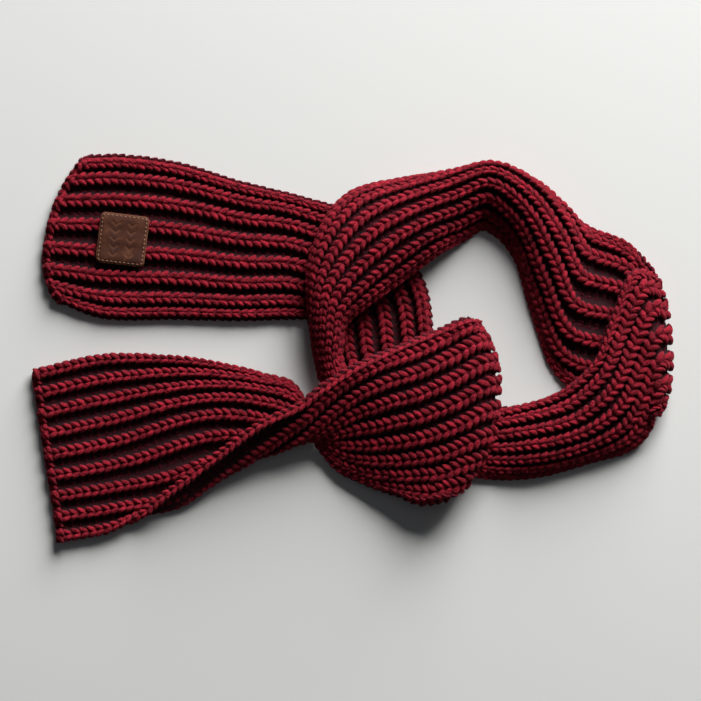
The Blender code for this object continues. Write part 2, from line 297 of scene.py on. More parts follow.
@dataclass(frozen=True)
class WoolYarn:
    """The plied burgundy yarn of the stitches: mottled, matt, slightly hairy and painted with
    shade deep in the knit.
    """

    # deep is the darkest mottle and also the painted shade colour deep in the knit; body and
    # light are the mottle
    deep: tuple = (0.055, 0.004, 0.009)
    body: tuple = (0.192, 0.0062, 0.0142)
    light: tuple = (0.375, 0.0118, 0.0285)
    roughness: float = 0.95
    sheen: float = 0.10
    sheen_tint: tuple = (0.80, 0.20, 0.26)
    sheen_roughness: float = 0.5
    gloss: float = 0.12
    fibre_scale: float = 2600.0
    fluff_scale: float = 620.0
    mottle_scale: float = 160.0
    ply_turns: float = 2.0
    ply_lean: float = 1.6
    relief: float = 0.0012

    def material(self) -> bpy.types.Material:
        """Makes the yarn's material, with its plies, fibres, mottle and painted shade low in the
        knit.

        Returns:
            The material.
        """
        shader = Shader("burgundy_yarn")
        fibre = shader.noise(self.fibre_scale, 3.0)
        fluff = shader.noise(self.fluff_scale, 3.0)
        mottle = shader.noise(self.mottle_scale, 2.0)
        ply = self._ply(shader)
        tone = (shader.attribute("tone") * 0.20 + fibre * 0.26 + fluff * 0.36
                + mottle * 0.18)
        lit = shader.ramp(tone, {0.30: self.deep, 0.48: self.body, 0.66: self.light})
        # painted shade: the base colour darkens to deep where the yarn lies low in the knit,
        # read from its height
        height = shader.attribute("height")
        rough = ply * 0.25 + fibre * 0.8 + fluff * 1.5
        shader.feed(Base_Color=shader.blend(height, self.deep, lit),
                    Roughness=self.roughness, Sheen_Weight=self.sheen,
                    Sheen_Roughness=self.sheen_roughness, Sheen_Tint=self.sheen_tint,
                    Specular_IOR_Level=self.gloss,
                    Normal=shader.bump(rough, 1.0, self.relief))
        return shader.material

    def _ply(self, shader: Shader) -> Value:
        """Works out the twist of the plies round the yarn.

        Args:
            shader: the yarn's material.

        Returns:
            The height of the plies, from -1 to 1.
        """
        twist = shader.node("ShaderNodeUVMap", {"uv_map": "yarn"}, {}, "UV")
        around, onward = (shader.node("ShaderNodeSeparateXYZ", {}, {0: twist}, axis)
                          for axis in ("X", "Y"))
        turn = (around * self.ply_turns + onward * self.ply_lean) * math.tau
        return turn.sine()


@dataclass(frozen=True)
class WoolGround:
    """The wool under the stitches, painted with shade: red inside the ribs and nearly black in
    the valleys, where shade falls.
    """

    # painted shade: deep and body are the valleys' near-black, crest the red where the cloth
    # rises into a rib
    deep: tuple = (0.016, 0.0066, 0.0080)
    body: tuple = (0.036, 0.0086, 0.0108)
    crest: tuple = (0.095, 0.005, 0.011)
    roughness: float = 0.95
    gloss: float = 0.1
    fibre_scale: float = 1400.0
    relief: float = 0.001

    def material(self) -> bpy.types.Material:
        """Makes the ground cloth's material: painted shade, redder where it rises into the ribs
        and nearly black in the valleys.

        Returns:
            The material.
        """
        shader = Shader("burgundy_ground")
        fibre = shader.noise(self.fibre_scale, 3.0)
        # painted shade: the valleys' near-black colour, lightened to crest where the ground
        # rises into a rib
        valley_shade = shader.ramp(fibre, {0.3: self.deep, 0.75: self.body})
        ribs = shader.ramp(shader.attribute("crest"), {0.5: (0, 0, 0), 0.85: (1, 1, 1)})
        shader.feed(Base_Color=shader.blend(ribs, valley_shade, self.crest),
                    Roughness=self.roughness, Specular_IOR_Level=self.gloss,
                    Normal=shader.bump(fibre, 0.8, self.relief))
        return shader.material


@dataclass(frozen=True)
class BareLeather:
    """Matt brown leather with a fine grain, rubbed lighter at its edge."""

    body: tuple = (0.054, 0.0135, 0.0045)
    dark: tuple = (0.033, 0.008, 0.0035)
    worn: tuple = (0.12, 0.042, 0.018)
    roughness: float = 0.68
    gloss: float = 0.25
    grain_scale: float = 1500.0
    cloud_scale: float = 120.0
    relief: float = 0.0004

    def material(self) -> bpy.types.Material:
        """Makes the leather's material, with its grain, clouding and rubbed places.

        Returns:
            The material.
        """
        shader = Shader("brown_leather_grain")
        grain = shader.node("ShaderNodeTexVoronoi", {"feature": "DISTANCE_TO_EDGE"},
                            {"Vector": shader.place(), "Scale": self.grain_scale}, "Distance")
        cloud = shader.noise(self.cloud_scale, 4.0)
        colour = shader.ramp(cloud, {0.30: self.dark, 0.55: self.body, 0.85: self.worn})
        rubbed = shader.attribute("rubbed")
        shader.feed(Base_Color=shader.blend(rubbed, colour, self.worn),
                    Roughness=self.roughness + 0.2 * cloud, Specular_IOR_Level=self.gloss,
                    Normal=shader.bump(grain, 0.5, self.relief))
        return shader.material


@dataclass(frozen=True)
class SewingThread:
    """The tan waxed thread of the patch."""

    colour: tuple = (0.24, 0.10, 0.05)
    shaded: float = 0.55
    roughness: float = 0.6
    strand_scale: float = 3000.0

    def material(self) -> bpy.types.Material:
        """Makes the thread's material, with a fine twist.

        Returns:
            The material.
        """
        shader = Shader("tan_thread")
        strand = shader.noise(self.strand_scale, 1.0)
        dark = tuple(self.shaded * part for part in self.colour)
        colour = shader.ramp(strand, {0.3: dark, 0.8: self.colour})
        shader.feed(Base_Color=colour, Roughness=self.roughness)
        return shader.material


@dataclass(frozen=True)
class PaleFloor:
    """A plain pale floor."""

    colour: tuple = (0.62, 0.62, 0.60)
    roughness: float = 0.9

    def material(self) -> bpy.types.Material:
        """Returns the floor's material."""
        shader = Shader("pale_floor")
        shader.feed(Base_Color=self.colour, Roughness=self.roughness)
        return shader.material


# ---------------------------------------------------------------- the strip's form


def unit(vectors: np.ndarray) -> np.ndarray:
    """Returns the vectors at length 1."""
    return vectors / np.maximum(np.linalg.norm(vectors, axis=-1, keepdims=True), 1e-9)


def rib_wave(share: np.ndarray) -> np.ndarray:
    """Returns 1 on the ribs of the front face and -1 on those of the back face."""
    return -np.cos(math.pi * (TURNS * share - 0.5))


@dataclass
class Frames:
    """Places on the strip with their directions, one row for each place."""

    centre: np.ndarray
    tangent: np.ndarray
    side: np.ndarray
    normal: np.ndarray
    width: np.ndarray
    fullness: np.ndarray


class Strip:
    """A smooth strip through a run of sections, read at any place along and across it."""

    slope_reach = 0.02   # how far either side of a place its directions are read
    crowd_reach = 0.05   # how far either side of a place the crowding of the ribs is read

    def __init__(self, run: dict[str, tuple], shift: np.ndarray) -> None:
        """Reads a run's tables.

        Args:
            run: the tables of sections, by the node that each makes.
            shift: how far the frame lies from the tables, in millimetres.
        """
        rows = np.array([row for table in run.values() for row in table], float)
        rows[:, :9] += np.tile(shift, 3)
        gaps = np.maximum(np.linalg.norm(np.diff(rows[:, 3:6], axis=0), axis=1), 1.0)
        self.count = len(rows)
        self.rows = np.vstack([2 * rows[0] - rows[1], rows, 2 * rows[-1] - rows[-2]])
        self.gaps = np.concatenate([gaps[:1], gaps, gaps[-1:]])

    def read(self, along: np.ndarray) -> np.ndarray:
        """Reads every column of the tables, by a cubic through the rows.

        Args:
            along: places along the run, 1 for each section.

        Returns:
            One row of the tables' columns for each place.
        """
        index = np.clip(np.floor(along).astype(int), 0, self.count - 2)
        share = (along - index)[:, None]
        near = [self.rows[index + step] for step in range(4)]
        gap = [self.gaps[index + step][:, None] for step in range(3)]
        slope_in = self._slope(near[0], near[1], near[2], gap[0], gap[1]) * gap[1]
        slope_out = self._slope(near[1], near[2], near[3], gap[1], gap[2]) * gap[1]
        square, cube = share ** 2, share ** 3
        return (near[1] * (2 * cube - 3 * square + 1) + slope_in * (cube - 2 * square + share)
                + near[2] * (3 * square - 2 * cube) + slope_out * (cube - square))

    @staticmethod
    def _slope(before: np.ndarray, here: np.ndarray, after: np.ndarray,
               gap_before: np.ndarray, gap_after: np.ndarray) -> np.ndarray:
        """Works out how steeply the columns change at a row of the tables.

        Args:
            before: the row before it.
            here: the row itself.
            after: the row after it.
            gap_before: the distance from the row before it, in millimetres.
            gap_after: the distance to the row after it.

        Returns:
            The change a millimetre of each column, the nearer neighbour counting for more.
        """
        rise_in, rise_out = (here - before) / gap_before, (after - here) / gap_after
        return (rise_in * gap_after + rise_out * gap_before) / (gap_before + gap_after)

    @staticmethod
    def packed(share: np.ndarray, crowd: np.ndarray, roll: np.ndarray) -> np.ndarray:
        """Bunches the ribs at both edges and packs them towards one of them.

        Args:
            share: shares of the strip's own width, from 0 to 1.
            crowd: the packing, over 1 towards the right edge and below 1 towards the left.
            roll: the bunching, from 0 to 1.

        Returns:
            Where those places then lie between the edges, from 0 to 1.
        """
        share = share + roll * ((1 - np.cos(math.pi * share)) / 2 - share)
        over = 1 - (1 - share) ** np.maximum(crowd, 1.0)
        under = share ** (1 / np.minimum(crowd, 1.0))
        return np.where(crowd >= 1, over, under)

    def points(self, along: np.ndarray, share: np.ndarray) -> np.ndarray:
        """Returns the points of the strip's middle surface.

        Args:
            along: places along the run, 1 for each section.
            share: shares of the strip's own width, from 0 to 1.

        Returns:
            The points in millimetres.
        """
        along = np.clip(along, 0.0, self.count - 1.0)
        share = np.clip(share, 0.0, 1.0)
        values = self.read(along)
        left, middle, right = values[:, 0:3], values[:, 3:6], values[:, 6:9]
        crowd, lean, roll = values[:, 9:12].T
        bulge = middle - left - (right - left) * (0.5 ** (1 / lean))[:, None]
        place = self.packed(share, crowd, roll)
        height = 1 - np.abs(2 * place ** lean - 1) ** SQUARENESS
        return left + (right - left) * place[:, None] + bulge * height[:, None]

    def frames(self, along: np.ndarray, share: np.ndarray) -> Frames:
        """Returns places on the middle surface with their directions.

        Args:
            along: places along the run.
            share: shares of the width.

        Returns:
            The frames, with the ribs' width and fullness against a relaxed strip.
        """
        near = self.slope_reach
        sideways = self.points(along, share + near) - self.points(along, share - near)
        forwards = self.points(along + near, share) - self.points(along - near, share)
        tangent, normal = unit(forwards), unit(np.cross(sideways, forwards))
        half = 1.0 / TURNS
        low, high = np.maximum(share - half, 0.0), np.minimum(share + half, 1.0)
        span = np.linalg.norm(self.points(along, high) - self.points(along, low), axis=1)
        width = span / ((high - low) * STRIP_WIDTH)
        packing = self.read(np.clip(along, 0.0, self.count - 1.0))[:, [9, 11]].T
        low = np.maximum(share - self.crowd_reach, 0.0)
        high = np.minimum(share + self.crowd_reach, 1.0)
        pitch = (self.packed(high, *packing) - self.packed(low, *packing)) / (high - low)
        fullness = np.clip(pitch, LEAST_FULLNESS, 1.0) ** 0.5
        return Frames(self.points(along, share), tangent, np.cross(tangent, normal), normal,
                      width, fullness)


@dataclass
class StitchChain:
    """A line of stitches: the places that it follows, and which way it faces there."""

    centre: np.ndarray
    tangent: np.ndarray
    outward: np.ndarray
    width: np.ndarray
    fullness: np.ndarray
    ride_height: float = 2.6

    def __post_init__(self) -> None:
        """Finds the sideways directions and the line's own length."""
        self.side = unit(np.cross(self.tangent, self.outward))
        lifted = self.centre + self.outward * (self.ride_height * self.fullness)[:, None]
        steps = np.linalg.norm(np.diff(lifted, axis=0), axis=1)
        self.arc = np.concatenate([[0.0], np.cumsum(steps)])

    @classmethod
    def column(cls, strip: Strip, share: float, face: Face, start: float,
               end: float, plump: tuple = (1.0,)) -> "StitchChain":
        """Follows the strip lengthwise.

        Args:
            strip: the strip that carries the stitches.
            share: where across the strip the column runs.
            face: the side that it faces.
            start: the first place along the run.
            end: the last place along the run.
            plump: how far the rib spreads, against the strip under it, from start to end.

        Returns:
            The line of stitches.
        """
        along = np.linspace(start, end, int((end - start) * READS_A_SECTION) + 2)
        found = strip.frames(along, np.full(len(along), share))
        swell = np.interp(along, np.linspace(start, end, len(plump)), plump)
        swell = np.minimum(swell, BACK_SWELL) if face is Face.BACK else swell
        width = np.clip(found.width, SLIMMEST, WIDEST) * swell
        if face in (Face.FRONT, Face.BACK):
            sign = 1.0 if face is Face.FRONT else -1.0
            return cls(found.centre, found.tangent, sign * found.normal, width, found.fullness)
        sign = -1.0 if face is Face.LEFT_EDGE else 1.0
        outward = unit(sign * 0.8 * found.side + 0.6 * found.normal)
        inward = found.centre - found.side * sign * EDGE_INSET
        return cls(inward, found.tangent, outward, np.minimum(width, EDGE_WIDTH),
                   EDGE_WIDTH * found.fullness)

    @classmethod
    def bound_edge(cls, strip: Strip, along: float, away: float,
                   side: float) -> "StitchChain":
        """Follows an end of the strip from edge to edge.

        Args:
            strip: the strip that ends there.
            along: the end's place along the run.
            away: -1 where the strip starts and 1 where it ends.
            side: 1 on the front of the end and -1 on its back.

        Returns:
            The line of stitches.
        """
        share = np.linspace(0.0, 1.0, READS_ACROSS)
        found = strip.frames(np.full(READS_ACROSS, along), share)
        outward = unit(0.62 * away * found.tangent + 0.78 * side * found.normal)
        wave = 1.3 * rib_wave(share)
        centre = found.centre + found.normal * wave[:, None] - 2.6 * away * found.tangent
        tangent = unit(np.gradient(centre, axis=0))
        return cls(centre, tangent, outward, np.full(READS_ACROSS, 0.8),
                   np.full(READS_ACROSS, EDGE_WIDTH))

    def at(self, arc: np.ndarray) -> tuple[np.ndarray, ...]:
        """Reads the line at some lengths along it.

        Args:
            arc: the lengths, in millimetres.

        Returns:
            The centre, side, outward, width and fullness there.
        """
        def read(values: np.ndarray) -> np.ndarray:
            """Reads one set of numbers or vectors at the wanted lengths."""
            if values.ndim == 1:
                return np.interp(arc, self.arc, values)
            return np.stack([np.interp(arc, self.arc, values[:, axis])
                             for axis in range(3)], axis=-1)
        return (read(self.centre), unit(read(self.side)), unit(read(self.outward)),
                read(self.width), read(self.fullness))


# ---------------------------------------------------------------- meshes


@dataclass
class Pattern:
    """A small shape that is repeated: its points, faces and yarn coordinates."""

    points: np.ndarray
    loops: np.ndarray
    starts: np.ndarray
    twist: np.ndarray

    @classmethod
    def of(cls, shape: bmesh.types.BMesh) -> "Pattern":
        """Reads a finished bmesh, which is freed.

        Args:
            shape: the bmesh, with a UV layer.

        Returns:
            The pattern.
        """
        shape.verts.ensure_lookup_table()
        layer = shape.loops.layers.uv.active
        points = np.array([vert.co for vert in shape.verts], float)
        loops, starts, twist = [], [], []
        for face in shape.faces:
            starts.append(len(loops))
            for corner in face.loops:
                loops.append(corner.vert.index)
                twist.append(corner[layer].uv[:])
        shape.free()
        return cls(points, np.array(loops), np.array(starts), np.array(twist, float))


def repeat(name: str, pattern: Pattern, places: np.ndarray, twists: np.ndarray,
           numbers: dict[str, np.ndarray]) -> bpy.types.Object:
    """Joins many placed copies of a pattern into one mesh.

    Args:
        name: the new object's name.
        pattern: the shape that is repeated.
        places: the copies' points in metres, shaped copies x points x 3.
        twists: what is added to the yarn coordinates of each copy, shaped copies x 2.
        numbers: what each point carries, by attribute name, shaped copies x points.

    Returns:
        The new object, smooth shaded and linked into the scene.
    """
    copies, size = places.shape[:2]
    data = bpy.data.meshes.new(name)
    data.vertices.add(copies * size)
    data.vertices.foreach_set("co", places.astype(np.float32).ravel())
    loops = (pattern.loops[None] + size * np.arange(copies)[:, None]).ravel()
    data.loops.add(len(loops))
    data.loops.foreach_set("vertex_index", loops.astype(np.int32))
    starts = (pattern.starts[None] + len(pattern.loops) * np.arange(copies)[:, None]).ravel()
    data.polygons.add(len(starts))
    data.polygons.foreach_set("loop_start", starts.astype(np.int32))
    data.update(calc_edges=True)
    data.polygons.foreach_set("use_smooth", np.ones(len(starts), bool))
    layer = data.uv_layers.new(name="yarn")
    twist = pattern.twist[None] + twists[:, None]
    layer.data.foreach_set("uv", twist.astype(np.float32).ravel())
    for key, values in numbers.items():
        held = data.attributes.new(key, "FLOAT", "POINT")
        held.data.foreach_set("value", values.astype(np.float32).ravel())
    made = bpy.data.objects.new(name, data)
    bpy.context.scene.collection.objects.link(made)
    return made


def add_piece(name: str, shape: bmesh.types.BMesh, material: bpy.types.Material,
              smooth: bool = True) -> bpy.types.Object:
    """Turns a bmesh, which is freed, into a linked object.

    Args:
        name: the new object's name.
        shape: the finished bmesh, in metres.
        material: what it is made of.
        smooth: whether it is smooth shaded.

    Returns:
        The new object.
    """
    data = bpy.data.meshes.new(name)
    shape.to_mesh(data)
    shape.free()
    data.polygons.foreach_set("use_smooth", [smooth] * len(data.polygons))
    data.materials.append(material)
    made = bpy.data.objects.new(name, data)
    bpy.context.scene.collection.objects.link(made)
    return made


def thin_sheet(columns: int, rows: int, shade: str, skins: Callable) -> bmesh.types.BMesh:
    """Makes a thin closed sheet from a grid, as two skins with a wall between their edges.

    Args:
        columns: how many faces the grid has from edge to edge.
        rows: how many faces it has from start to end.
        shade: the name of the number that each point carries.
        skins: takes the grid's places, from 0 to 1 both ways, and returns the front's and the
            back's points in metres, and the front's and the back's numbers.

    Returns:
        The sheet.
    """
    shape = bmesh.new()
    bmesh.ops.create_grid(shape, x_segments=columns, y_segments=rows, size=0.5)
    shape.verts.layers.int.new("order")
    shape.verts.layers.float.new(shade)
    order, shaded = shape.verts.layers.int["order"], shape.verts.layers.float[shade]
    for index, vert in enumerate(shape.verts):
        vert[order] = index
    grid = np.array([vert.co for vert in shape.verts], float) + 0.5
    upper, lower, upper_shade, lower_shade = skins(grid[:, 0], grid[:, 1])
    raised = bmesh.ops.extrude_face_region(shape, geom=shape.faces[:])
    new = {item for item in raised["geom"] if isinstance(item, bmesh.types.BMVert)}
    for vert in shape.verts:
        front, index = vert in new, vert[order]
        vert.co = (upper if front else lower)[index]
        vert[shaded] = (upper_shade if front else lower_shade)[index]
    return shape


def ride(pieces: list[bpy.types.Object]) -> None:
    """Puts pieces on the scarf's one body."""
    for piece in pieces:
        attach(piece, "root")


def settled(points: np.ndarray) -> np.ndarray:
    """Flattens what would sink into the table against it."""
    lowered = points.copy()
    lowered[..., 2] = np.maximum(lowered[..., 2] - SETTLE, 0.0)
    return lowered


@dataclass
class VStitch:
    """One leg of a V stitch, in millimetres: a plump yarn that leaves the middle of its rib,
    swells, leans outwards and dives under the next one."""

    rows_apart: float = 5.8
    begins: float = -0.12
    reaches: float = 1.26
    inner: float = 0.75
    outer: float = 2.85
    radius: float = 2.2
    tucked: float = 0.85
    proud: float = 2.45
    bluntness: float = 0.24
    squash: float = 0.92
    unevenness: float = 0.08
    wander: float = 0.13
    slip: float = 0.22
    sides: int = 7
    rings: int = 6
    pattern: Pattern = field(init=False)

    def __post_init__(self) -> None:
        """Makes the leg's pattern from a sphere with its poles along the yarn."""
        shape = bmesh.new()
        shape.loops.layers.uv.new("yarn")
        bmesh.ops.create_uvsphere(shape, u_segments=self.sides, v_segments=self.rings,
                                  radius=1.0, calc_uvs=True)
        self.pattern = Pattern.of(shape)

    def legs(self, chain: StitchChain, draw: np.random.Generator) -> tuple[np.ndarray, ...]:
        """Places both legs of every stitch of a chain.

        Args:
            chain: the line of stitches.
            draw: where the small differences between stitches come from.

        Returns:
            The legs' points in millimetres, and how high each lies, from 0 deep in the knit
            to 1 on its crest, which sets where the yarn is painted darker as shade.
        """
        rows = max(round(chain.arc[-1] / self.rows_apart), 1)
        arcs = (np.arange(rows) + 0.1) * chain.arc[-1] / rows
        both = [self.leg(arcs, chain, hand, draw) for hand in (-1.0, 1.0)]
        return tuple(np.concatenate(parts) for parts in zip(*both))

    def leg(self, arcs: np.ndarray, chain: StitchChain, hand: float,
            draw: np.random.Generator) -> tuple[np.ndarray, np.ndarray]:
        """Places one leg at each length along a chain.

        Args:
            arcs: where the stitches start along the chain.
            chain: the line that they follow.
            hand: -1 for the left legs and 1 for the right legs.
            draw: where the small differences between stitches come from.

        Returns:
            The legs' points in millimetres and how high each point lies, from 0 to 1, the mask
            of the yarn's painted shade.
        """
        count, ball = len(arcs), self.pattern.points
        share = (ball[:, 2] + 1) / 2
        blunt = np.clip(1 - ball[:, 2] ** 2, 0.05, 1.0) ** -self.bluntness
        size = self.radius * blunt * (0.84 + 0.24 * share) * draw.uniform(
            1 - self.unevenness, 1 + self.unevenness, (count, 1))
        ease = 0.5 - 0.5 * np.cos(math.pi * share)
        spread = self.inner + (self.outer - self.inner) * ease
        spread = spread + draw.normal(0.0, self.wander, (count, 1))
        rise = self.tucked + (self.proud - self.tucked) * np.sin(math.pi * share) ** 0.8
        rise = rise + draw.normal(0.0, self.wander, (count, 1))
        onward = (self.begins + (self.reaches - self.begins) * share) * self.rows_apart
        reach = arcs[:, None] + onward + draw.normal(0.0, self.slip, (count, 1))
        centre, side, outward, width, fullness = chain.at(np.clip(reach, 0.0, chain.arc[-1]))
        across = hand * spread * width ** 0.7 + ball[:, 0] * size * width ** 0.45
        out = (rise + ball[:, 1] * size * self.squash) * fullness
        # how high the point lies: the mask by which the yarn's colour gets painted shade
        height = np.clip((rise + ball[:, 1] * size - 0.4) / 3.2, 0.0, 1.0)
        return centre + side * across[..., None] + outward * out[..., None], height


@dataclass
class Fuzz:
    """Loose fibres that stand off the yarn, each a thin closed needle."""

    tries: int = 3
    share: float = 0.75
    length: float = 2.4
    thick: float = 0.05
    unruly: float = 0.55
    lowest: float = 0.06
    pattern: Pattern = field(init=False)

    def __post_init__(self) -> None:
        """Makes the needle's pattern, one long with its point up."""
        shape = bmesh.new()
        shape.loops.layers.uv.new("yarn")
        bmesh.ops.create_cone(shape, cap_ends=True, segments=3, radius1=1.0, radius2=0.0,
                              depth=1.0, calc_uvs=True)
        bmesh.ops.translate(shape, verts=shape.verts, vec=(0.0, 0.0, 0.5))
        self.pattern = Pattern.of(shape)

    def build(self, name: str, legs: np.ndarray, draw: np.random.Generator,
              yarn: bpy.types.Material) -> bpy.types.Object:
        """Stands fibres on some of the legs.

        Args:
            name: the new piece's name.
            legs: the points of the legs in millimetres, shaped legs x points x 3.
            draw: where the fibres' places and leans come from.
            yarn: their material.

        Returns:
            The fibres, joined into one mesh.
        """
        chosen = np.repeat(np.arange(len(legs)), self.tries)
        chosen = chosen[draw.random(len(chosen)) < self.share]
        spots = legs[chosen, draw.integers(0, legs.shape[1], len(chosen))]
        out = unit(spots - legs[chosen].mean(axis=1))
        way = unit(out + draw.normal(0.0, self.unruly, out.shape))
        aside = unit(np.cross(way, draw.normal(0.0, 1.0, out.shape)))
        third = np.cross(way, aside)
        long = self.length * draw.uniform(0.35, 1.25, (len(chosen), 1))
        ball = self.pattern.points
        places = (spots[:, None] + aside[:, None] * (ball[:, 0] * self.thick)[None, :, None]
                  + third[:, None] * (ball[:, 1] * self.thick)[None, :, None]
                  + way[:, None] * (ball[:, 2] * long)[..., None])
        flat = np.ones(places.shape[:2])
        tone = flat * draw.uniform(0.4, 0.8, (len(places), 1))
        floor = self.lowest + 0.02 * ball[:, 0]
        places[..., 2] = np.maximum(places[..., 2] - SETTLE, floor)
        # height 1 everywhere: the fibres get none of the yarn's painted shade
        made = repeat(name, self.pattern, places * MM, draw.random((len(places), 2)),
                      {"tone": tone, "height": flat})
        made.data.materials.append(yarn)
        return made


@dataclass
class Stretch:
    """One stretch of the strip: its thin ground cloth and the stitches on all its sides.

    Plump says how far the ribs spread from its start to its end, bound_at where the strip is
    bound off, and wave and deepening how deep its ribs are, in millimetres.
    """

    node: str
    strip: Strip
    start: float
    end: float
    lay: Lay
    rests_on: tuple
    wool: "Wool"
    plump: tuple
    bound_at: tuple = ()
    wave: float = 1.9
    deepening: float = 1.6
    cloth_thick: float = 1.8
    faces_per_rib: int = 6
    cloth_step: float = 4.0

    def build(self, draw: np.random.Generator) -> list[bpy.types.Object]:
        """Builds and dresses the stretch.

        Args:
            draw: where the small differences between stitches come from.

        Returns:
            Its pieces, the ground cloth first.
        """
        cloth = self.build_ground()
        dressing = [piece for face in (Face.FRONT, Face.BACK)
                    for piece in self.build_face(face, draw)]
        ride([cloth, *dressing])
        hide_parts(self.node)
        self.length() * MM
        return [cloth, *dressing]

    def length(self) -> float:
        """Returns the stretch's own length along its middle, in millimetres."""
        along = np.linspace(self.start, self.end, 200)
        middle = self.strip.points(along, np.full(200, 0.5))
        return float(np.linalg.norm(np.diff(middle, axis=0), axis=1).sum())

    def build_ground(self) -> bpy.types.Object:
        """Lays the thin ribbed cloth along the strip.

        Returns:
            The ground cloth, which carries how far it rises into the ribs as "crest", the mask
            of its painted valley shade.
        """
        columns = TURNS * self.faces_per_rib // 2
        rows = max(int(self.length() / self.cloth_step), 2)
        shape = thin_sheet(columns, rows, "crest", self.skins)
        bmesh.ops.recalc_face_normals(shape, faces=shape.faces)
        return add_piece(f"{self.node}_ground", shape, self.wool.ground)

    def skins(self, share: np.ndarray, onward: np.ndarray) -> tuple[np.ndarray, ...]:
        """Works out both faces of the ground cloth.

        Args:
            share: shares of the strip's width.
            onward: shares of the stretch's length.

        Returns:
            The points of the front and back in metres, and how far each rises into a rib, which
            lifts the ground out of its painted valley shade.
        """
        found = self.strip.frames(self.start + onward * (self.end - self.start), share)
        squeezed = np.clip(1.0 - found.width, 0.0, 0.6)
        wave = (self.wave + self.deepening * squeezed) * rib_wave(share)
        half = self.cloth_thick / 2
        front = (wave + half) * found.fullness
        back = (wave - half) * found.fullness
        # how far each face rises into a rib: the mask of the ground's painted valley shade
        risen = (1 + rib_wave(share)) / 2
        return (settled(found.centre + found.normal * front[:, None]) * MM,
                settled(found.centre + found.normal * back[:, None]) * MM, risen, 1 - risen)

    def chains(self, face: Face) -> list[StitchChain]:
        """Finds the lines of stitches that belong to a face, its edges and its ends.

        Args:
            face: the front or the back.

        Returns:
            The lines, the ribs' own first.
        """
        first = 1 if face is Face.FRONT else 0
        columns = [((turn + 0.5) / TURNS, face) for turn in range(first, TURNS, 2)]
        if face is Face.FRONT:
            columns += [(0.0, Face.LEFT_EDGE), (1.0, Face.RIGHT_EDGE)]
        found = [StitchChain.column(self.strip, share, side, self.start, self.end, self.plump)
                 for share, side in columns]
        found += [StitchChain.bound_edge(self.strip, place, away,
                                         1.0 if face is Face.FRONT else -1.0)
                  for place, away in self.bound_at]
        return found

    def build_face(self, face: Face, draw: np.random.Generator) -> list[bpy.types.Object]:
        """Knits one face.

        Args:
            face: the front or the back.
            draw: where the small differences between stitches come from.

        Returns:
            All its stitches, joined into one mesh, and their fuzz.
        """
        placed = [self.wool.stitch.legs(chain, draw) for chain in self.chains(face)]
        # the legs' heights also set where the yarn gets painted shade
        places, shade_heights = (np.concatenate(parts) for parts in zip(*placed))
        tone = np.repeat(draw.uniform(0.25, 0.75, (len(places), 1)), places.shape[1], axis=1)
        made = repeat(f"{self.node}_{face.value}_stitches", self.wool.stitch.pattern,
                      settled(places) * MM, draw.random((len(places), 2)),
                      {"tone": tone, "height": shade_heights})
        made.data.materials.append(self.wool.yarn)
        fuzz = self.wool.fuzz.build(f"{self.node}_{face.value}_fuzz", places, draw,
                                    self.wool.yarn)
        return [made, fuzz]


@dataclass
class Wool:
    """What all the stretches are knitted from."""

    stitch: VStitch
    fuzz: Fuzz
    yarn: bpy.types.Material
    ground: bpy.types.Material


@dataclass
class HiddenLayers:
    """The folded layers between the lowest stretch and the fan, as one rounded pad in the
    ground's near-black painted shade.
    """

    ground: bpy.types.Material
    layers: int = 3
    groove: float = 0.07

    def build(self, shift: np.ndarray) -> bpy.types.Object:
        """Builds the pad, with a groove round it between one layer and the next.

        Args:
            shift: how far the frame lies from the tables, in millimetres.

        Returns:
            The pad.
        """
        shape = bmesh.new()
        bmesh.ops.create_uvsphere(shape, u_segments=48, v_segments=24, radius=1.0)
        for vert in shape.verts:
            x, y, z = vert.co
            flat = math.copysign(abs(z) ** 0.6, z)
            pinch = 1 - self.groove * (0.5 + 0.5 * math.cos(math.tau * self.layers * flat / 2))
            spot = [half * part for half, part in zip(CORE_HALF, (x * pinch, y * pinch, flat))]
            vert.co = (Vector(CORE_CENTRE) + Vector(spot) + Vector(shift)) * MM
        # the pad carries no crest, so the ground's material paints it the valleys' near-black
        # shade
        pad = add_piece("hidden_layers_pad", shape, self.ground)
        ride([pad])
        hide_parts("hidden_layers")
        return pad


